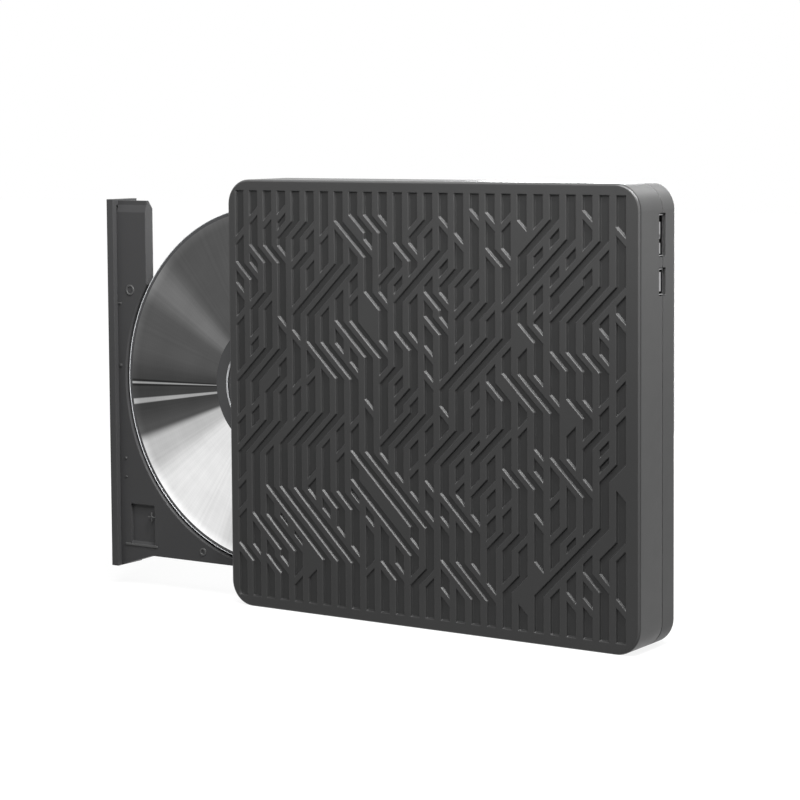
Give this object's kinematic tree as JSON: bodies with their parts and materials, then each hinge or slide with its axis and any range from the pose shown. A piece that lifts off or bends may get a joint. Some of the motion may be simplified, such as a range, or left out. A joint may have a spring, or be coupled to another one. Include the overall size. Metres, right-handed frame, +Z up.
{
  "type": "external dvd drive",
  "caption": "Slim external DVD drive standing on its edge, a rib-patterned case with its tray and disc part way out",
  "frame": {"origin": "centre of the long narrow edge that the case stands on; the tray is left out of this centre", "axes": "+X along the patterned face away from the tray, +Y from the patterned face to the feet, +Z up"},
  "size_m": [0.2093, 0.0235, 0.142],
  "materials": {
    "relief_plastic": "charcoal moulded plastic, fine texture, satin",
    "case_plastic": "charcoal moulded plastic, fine texture",
    "foot_rubber": "soft black rubber",
    "screw_steel": "zinc plated screw steel",
    "foam": "black foam",
    "board_green": "solder-masked circuit board",
    "chip_black": "black chip packages",
    "port_steel": "plated connector shell",
    "port_plastic": "black connector moulding",
    "sheet_steel": "zinc coated sheet steel",
    "cable_film": "amber flat cable film",
    "rail_steel": "bright rail steel",
    "guide_plastic": "black slippery plastic",
    "tray_plastic": "dark grey moulded plastic",
    "bezel_plastic": "dark grey moulded plastic, smoother",
    "clear_window": "clear light guide",
    "damper_rubber": "soft black rubber",
    "chassis_plastic": "glass filled black plastic",
    "motor_steel": "plated motor steel",
    "coil_copper": "enamelled copper winding",
    "hub_plastic": "black hub plastic",
    "pad_rubber": "grippy rubber ring",
    "disc_clear": "clear polycarbonate",
    "disc_bright": "bright metal layer with fine rings",
    "sled_plastic": "black moulding",
    "lens_glass": "coated lens",
    "shaft_steel": "ground steel"
  },
  "bodies": {
    "case": {"top_cover": "relief_plastic", "bottom_cover": "case_plastic", "rubber_feet": "foot_rubber", "case_screws": "screw_steel", "drive_mount_screws": "screw_steel", "foam_pads": "foam", "bridge_board": "board_green", "bridge_chips": "chip_black", "bridge_board_screws": "screw_steel", "usb_port_shell": "port_steel", "usb_port_tongue": "port_plastic", "power_port_shell": "port_steel", "power_port_tongue": "port_plastic", "bridge_socket": "port_plastic", "drive_pan": "sheet_steel", "drive_lid": "sheet_steel", "lid_screws": "screw_steel", "connector_board": "board_green", "drive_plug": "port_plastic", "flat_cable": "cable_film", "latch_post": "shaft_steel", "lower_rail_guide": "guide_plastic", "upper_rail_guide": "guide_plastic"},
    "drive_tray": {"tray": "tray_plastic", "bezel": "bezel_plastic", "led_window": "clear_window", "eject_switch": "port_plastic", "tray_board": "board_green", "tray_chips": "chip_black", "tray_bottom_cover": "sheet_steel", "tray_screws": "screw_steel", "traverse_chassis": "chassis_plastic", "traverse_cover": "sheet_steel", "dampers": "damper_rubber", "damper_screws": "screw_steel", "motor_stator": "coil_copper", "sled_motor": "motor_steel", "latch_solenoid": "coil_copper", "latch_pivot": "shaft_steel", "main_guide_rod": "shaft_steel", "second_guide_rod": "shaft_steel"},
    "disc_rotor": {"rotor_cup": "motor_steel", "spindle_shaft": "shaft_steel", "turntable": "hub_plastic", "turntable_pad": "pad_rubber", "clamp_jaws": "sled_plastic", "disc": "disc_clear", "disc_mirror": "disc_bright"},
    "pickup": {"pickup_sled": "sled_plastic", "lens_holder": "sled_plastic", "objective_lens": "lens_glass"},
    "sled_screw": {"lead_screw": "shaft_steel"},
    "button": {"eject_button": "bezel_plastic"},
    "latch": {"latch_lever": "chassis_plastic"},
    "rail_low": {"lower_rail": "rail_steel"},
    "rail_high": {"upper_rail": "rail_steel"}
  },
  "joints": [
    {"name": "tray_slide", "type": "slide", "parent": "case", "child": "drive_tray", "axis": [-1, 0, 0], "range_m": [-0.055, 0.073], "deforming": ["flat_cable"]},
    {"name": "lower_rail_slide", "type": "slide", "parent": "case", "child": "rail_low", "axis": [-1, 0, 0], "range_m": [-0.0275, 0.0365]},
    {"name": "upper_rail_slide", "type": "slide", "parent": "case", "child": "rail_high", "axis": [-1, 0, 0], "range_m": [-0.0275, 0.0365]},
    {"name": "disc_spin", "type": "hinge", "parent": "drive_tray", "child": "disc_rotor", "pos_m": [-0.065, 0, 0.073], "axis": [0, -1, 0], "continuous": true},
    {"name": "pickup_slide", "type": "slide", "parent": "drive_tray", "child": "pickup", "axis": [-1, 0, 0], "range_m": [0, 0.032]},
    {"name": "lead_screw_turn", "type": "hinge", "parent": "drive_tray", "child": "sled_screw", "pos_m": [-0.095, -0.0003, 0.0505], "axis": [-1, 0, 0], "range_deg": [-10, 3860]},
    {"name": "eject_button_press", "type": "slide", "parent": "drive_tray", "child": "button", "axis": [1, 0, 0], "range_m": [0, 0.0006], "stiffness_N_per_m": 900},
    {"name": "latch_turn", "type": "hinge", "parent": "drive_tray", "child": "latch", "pos_m": [-0.086, 0.0008, 0.1056], "axis": [0, -1, 0], "range_deg": [0, 9]}
  ],
  "couplings": [
    {"joint": "lower_rail_slide", "follows": "tray_slide", "ratio": 0.5},
    {"joint": "upper_rail_slide", "follows": "tray_slide", "ratio": 0.5},
    {"joint": "lead_screw_turn", "follows": "pickup_slide", "rad_per_m": 2094.4}
  ]
}
